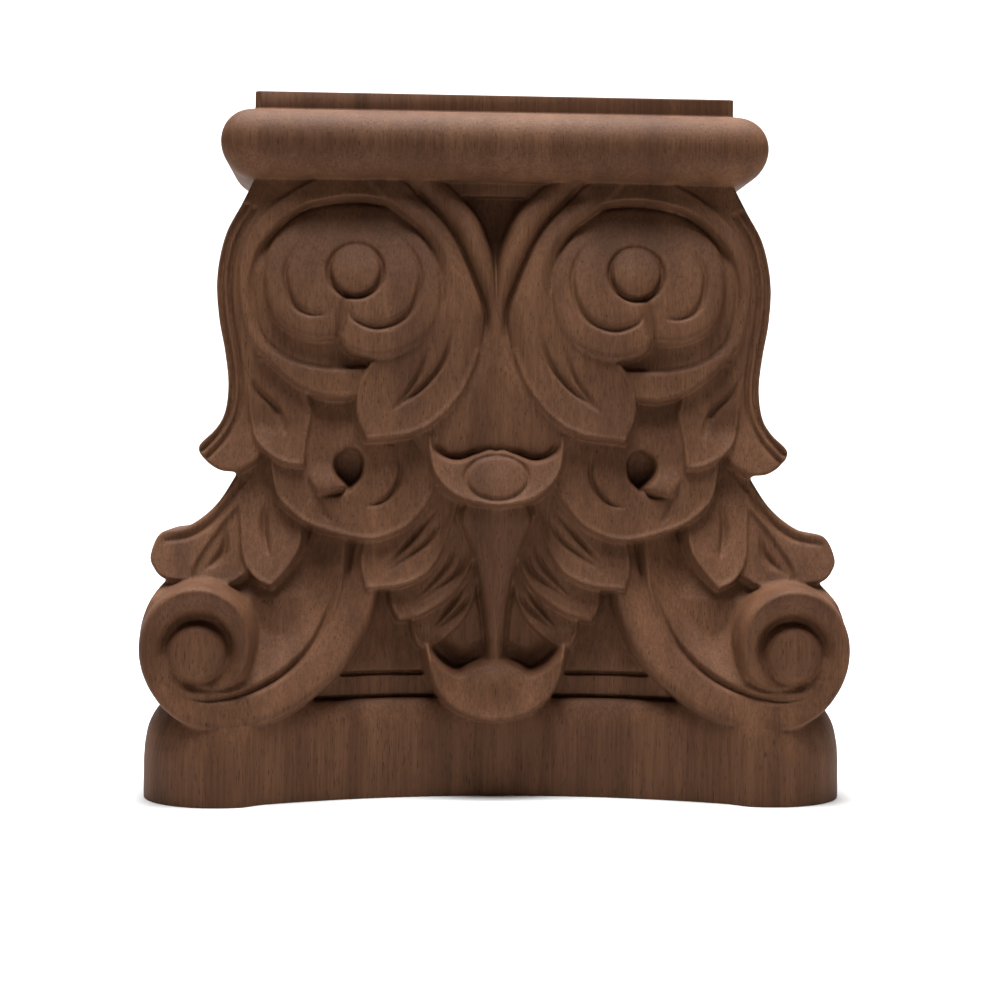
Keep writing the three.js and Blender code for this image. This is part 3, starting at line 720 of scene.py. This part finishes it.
def carved_capital():
    """The whole carving as one skin."""
    core = np.array([(-50, 12), (50, 12), (50, 134), (-50, 134)], float)
    bell_wing = outline(BELL_SIDE, [(45, 68.5), (45, 132)])
    leaf_wing = outline(LEAF_SIDE, [(46, 45.5), (46, 68.4)])
    scroll_wing = outline(SCROLL_SIDE + SCROLL_SIDE[:1])
    foot_wing = np.array([(48, 12), (60, 12), (60, 47), (48, 47)], float)
    wings = [slab(bell_wing, CORE_ROOT, PLATE_FRONT), slab(leaf_wing, LEAF_ROOT, PLATE_FRONT),
             slab(scroll_wing, ROOT_DEPTH, PLATE_FRONT), slab(foot_wing, ROOT_DEPTH, PLATE_FRONT)]
    plates = mesh_object("plates", *closed_mesh([slab(core, CORE_ROOT, PLATE_FRONT)], wings))
    with_modifier(plates, "REMESH", mode="VOXEL", voxel_size=PLATE_VOXEL)
    shape_plates(plates, carved_relief())
    body = mesh_object("carving", *closed_mesh([block(), neck(), bell()], []))
    joined = bmesh.new()
    for part in (body, plates):
        joined.from_mesh(part.data)
    joined.to_mesh(body.data)
    joined.free()
    bpy.data.objects.remove(plates)
    with_modifier(body, "REMESH", mode="VOXEL", voxel_size=SKIN_VOXEL)
    with_modifier(body, "SMOOTH", factor=0.5, iterations=1)
    with_modifier(body, "DECIMATE", ratio=TRIANGLES / (2 * len(body.data.polygons)))
    body.data.transform(Matrix.Scale(MM, 4))
    body.data.shade_smooth()
    return body


class Nodes:
    """A material's node tree, built up by short calls."""

    def __init__(self, name):
        self.material = bpy.data.materials.new(name)
        self.material.use_nodes = True
        self.tree = self.material.node_tree
        self.shader = self.tree.nodes["Principled BSDF"]

    def add(self, kind, inputs=None, **settings):
        """A new node, with values or other nodes' outputs on its inputs."""
        node = self.tree.nodes.new(kind)
        for key, value in settings.items():
            setattr(node, key, value)
        for key, value in (inputs or {}).items():
            if isinstance(value, bpy.types.NodeSocket):
                self.tree.links.new(value, node.inputs[key])
            else:
                node.inputs[key].default_value = value
        return node

    def noise(self, place, stretch, detail=2.0, offset=0.0):
        """Noise whose grains are so many times per millimetre along each direction."""
        mapped = self.add("ShaderNodeMapping", {"Vector": place, "Scale": [k / MM for k in stretch],
                                                "Location": (offset, offset, offset)})
        return self.add("ShaderNodeTexNoise", {"Vector": mapped.outputs[0], "Scale": 1.0, "Detail": detail,
                                               "Roughness": 0.55}).outputs["Fac"]

    def ramp(self, value, *stops):
        """A colour or grey that follows a value, from stops of (value, colour)."""
        node = self.add("ShaderNodeValToRGB", {"Fac": value})
        elements = node.color_ramp.elements
        while len(elements) < len(stops):
            elements.new(0.5)
        for element, (at, colour) in zip(elements, stops):
            element.position = at
            element.color = colour if isinstance(colour, tuple) else (colour, colour, colour, 1)
        return node.outputs["Color"]

    def mix(self, share, first, second, blend="MIX"):
        """A blend of two colours, either of which may come from another node."""
        node = self.add("ShaderNodeMix", data_type="RGBA", blend_type=blend)
        for socket, value in ((node.inputs[0], share), (node.inputs[6], first), (node.inputs[7], second)):
            if isinstance(value, bpy.types.NodeSocket):
                self.tree.links.new(value, socket)
            else:
                socket.default_value = value
        return node.outputs[2]


def hardwood():
    """Raw brown hardwood whose grain runs upwards: soft stripes, fine fibres and dark open pores."""
    wood = Nodes("dark hardwood")
    place = wood.add("ShaderNodeTexCoord").outputs["Object"]
    stripes = wood.noise(place, (0.16, 0.16, 0.006), detail=3)
    fibres = wood.noise(place, (2.2, 2.2, 0.07), detail=2, offset=7)
    flecks = wood.noise(place, (5, 5, 0.4), detail=1, offset=3)
    blotches = wood.noise(place, (0.05, 0.05, 0.03), detail=2, offset=11)
    base = wood.ramp(stripes, (0.3, (0.078, 0.034, 0.0165, 1)), (0.5, (0.104, 0.0462, 0.0228, 1)),
                     (0.7, (0.130, 0.0605, 0.0310, 1)))
    base = wood.mix(1.0, base, wood.ramp(fibres, (0.3, 0.8), (0.7, 1.16)), "MULTIPLY")
    base = wood.mix(1.0, base, wood.ramp(blotches, (0.3, (0.86, 0.82, 0.80, 1)), (0.7, (1.1, 1.08, 1.05, 1))),
                    "MULTIPLY")
    pores = wood.ramp(flecks, (0.30, 0.75), (0.36, 0.0))
    colour = wood.mix(pores, base, (0.03, 0.014, 0.008, 1))
    wood.tree.links.new(colour, wood.shader.inputs["Base Color"])
    wood.shader.inputs["Roughness"].default_value = 0.68
    wood.shader.inputs["Specular IOR Level"].default_value = 0.15
    low = wood.add("ShaderNodeBump", {"Height": fibres, "Strength": 0.25, "Distance": 0.12 * MM})
    deep = wood.add("ShaderNodeBump", {"Height": pores, "Strength": 0.6, "Distance": 0.12 * MM,
                                       "Normal": low.outputs[0]}, invert=True)
    wood.tree.links.new(deep.outputs[0], wood.shader.inputs["Normal"])
    return wood.material


def pale_stage():
    """A pale floor that curves up behind the object."""
    front = -1.2
    back = 0.9
    half = 2
    bend = 0.5
    top = 2.5
    profile = [(front, 0), (back, 0)]
    for degrees in range(10, 91, 10):
        angle = math.radians(degrees)
        profile.append((back + bend * math.sin(angle), bend * (1 - math.cos(angle))))
    profile.append((back + bend, top))
    points = [(x, y, z) for x in (-half, half) for y, z in profile]
    count = len(profile)
    faces = [(i, i + 1, i + 1 + count, i + count) for i in range(count - 1)]
    floor = mesh_object("floor", np.array(points), faces)
    floor.data.shade_smooth()
    material = bpy.data.materials.new("pale paper")
    material.use_nodes = True
    shader = material.node_tree.nodes["Principled BSDF"]
    shader.inputs["Base Color"].default_value = (0.62, 0.62, 0.62, 1)
    shader.inputs["Roughness"].default_value = 0.9
    floor.data.materials.append(material)
    return floor


def area_light(name, place, aim, size, power):
    """A round soft light that points at its aim."""
    data = bpy.data.lights.new(name, "AREA")
    data.shape = "DISK"
    data.size = size
    data.energy = power
    light = bpy.data.objects.new(name, data)
    light.location = place
    light.rotation_euler = (Vector(aim) - Vector(place)).to_track_quat("-Z", "Y").to_euler()
    bpy.context.scene.collection.objects.link(light)


def lights():
    """One soft light nearly overhead, one for the backdrop, and a faint fill from all round."""
    world = bpy.data.worlds.new("studio")
    world.use_nodes = True
    world.node_tree.nodes["Background"].inputs["Color"].default_value = (1, 1, 1, 1)
    world.node_tree.nodes["Background"].inputs["Strength"].default_value = 0.05
    bpy.context.scene.world = world
    area_light("above", place=(-0.02, -0.13, 0.95), aim=(0, 0, 0.08), size=0.45, power=15)
    area_light("backdrop", place=(0, 0.3, 1.3), aim=(0, 1.3, 0.2), size=1, power=48)


# The photograph was taken close up, level, and a little from the left
CAMERA_DISTANCE = 0.416
CAMERA_HEIGHT = 0.0729
CAMERA_YAW = math.radians(3.2)
CAMERA_ROLL = math.radians(0.5)
FOCAL_PIXELS = 1901
PHOTO_PIXELS = 1000
AXIS_PIXEL = (493.3, 452)


def camera():
    """The photograph's view, with the carving's middle line on the photo's own pixel."""
    data = bpy.data.cameras.new("photo")
    data.sensor_width = 36
    data.lens = FOCAL_PIXELS / PHOTO_PIXELS * data.sensor_width
    data.shift_x = (PHOTO_PIXELS / 2 - AXIS_PIXEL[0]) / PHOTO_PIXELS
    data.shift_y = (AXIS_PIXEL[1] - PHOTO_PIXELS / 2) / PHOTO_PIXELS
    data.clip_start = 0.01
    cam = bpy.data.objects.new("photo", data)
    bpy.context.scene.collection.objects.link(cam)
    place = Vector((-math.sin(CAMERA_YAW), -math.cos(CAMERA_YAW), 0)) * CAMERA_DISTANCE
    place.z = CAMERA_HEIGHT
    turn = Matrix.Rotation(-CAMERA_YAW, 4, "Z") @ Matrix.Rotation(math.pi / 2, 4, "X")
    cam.matrix_world = Matrix.Translation(place) @ turn @ Matrix.Rotation(CAMERA_ROLL, 4, "Z")
    bpy.context.scene.camera = cam


capital = carved_capital()
capital.data.materials.append(hardwood())
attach(capital, "root")
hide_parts("carved_capital")

pale_stage()
lights()
camera()
bpy.context.scene.view_settings.view_transform = "Standard"
